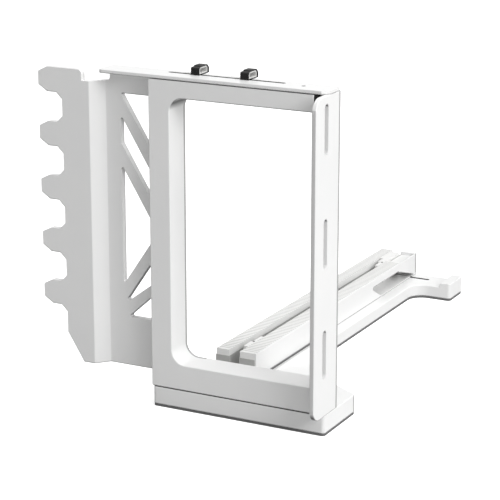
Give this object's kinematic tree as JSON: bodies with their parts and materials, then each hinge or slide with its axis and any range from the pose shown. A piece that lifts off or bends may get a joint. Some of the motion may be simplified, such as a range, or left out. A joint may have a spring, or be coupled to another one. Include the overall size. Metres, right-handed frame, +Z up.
{
  "type": "vertical graphics card bracket",
  "caption": "Free-standing white bracket with an open C-frame, slotted side strip, comb-edged truss panel for cables, and a long arm with ribbed rails that hold a graphics card upright.",
  "frame": {"origin": "middle of the base's front edge, on the floor", "axes": "+X to the right seen from the front, +Y to the rear along the arm, +Z up"},
  "size_m": [0.3497, 0.5792, 0.3795],
  "materials": {
    "white_moulding": "fine satin white",
    "white_paint": "white powder coat",
    "grey_core": "light grey, matt",
    "ribbed_pad": "soft white, ribbed",
    "dark_rubber": "dark matt rubber",
    "light_sleeve": "light grey lining",
    "black_plastic": "black, fine texture",
    "zinc_steel": "zinc-plated"
  },
  "bodies": {
    "root": {"base": "white_moulding", "main_frame": "white_moulding", "cable_panel": "white_moulding", "top_plate": "white_paint", "side_strip": "white_paint", "rail_bracket": "white_paint", "left_rail": "grey_core", "right_rail": "grey_core", "left_rail_pad": "ribbed_pad", "right_rail_pad": "ribbed_pad", "rail_tab_front": "ribbed_pad", "rail_tab_rear": "ribbed_pad", "base_mat": "dark_rubber", "rail_gasket": "dark_rubber", "frame_end_cap": "black_plastic", "clip_sleeve_left": "light_sleeve", "clip_sleeve_right": "light_sleeve", "cable_clip_left": "black_plastic", "cable_clip_right": "black_plastic", "clip_nuts": "zinc_steel", "clip_screws": "zinc_steel", "plate_screws": "zinc_steel", "strip_screws_upper": "zinc_steel", "strip_screws_lower": "zinc_steel", "frame_screws": "zinc_steel", "panel_screws": "zinc_steel", "carrier_screws": "zinc_steel", "carrier_washers": "zinc_steel", "rail_screws": "zinc_steel"}
  },
  "joints": []
}
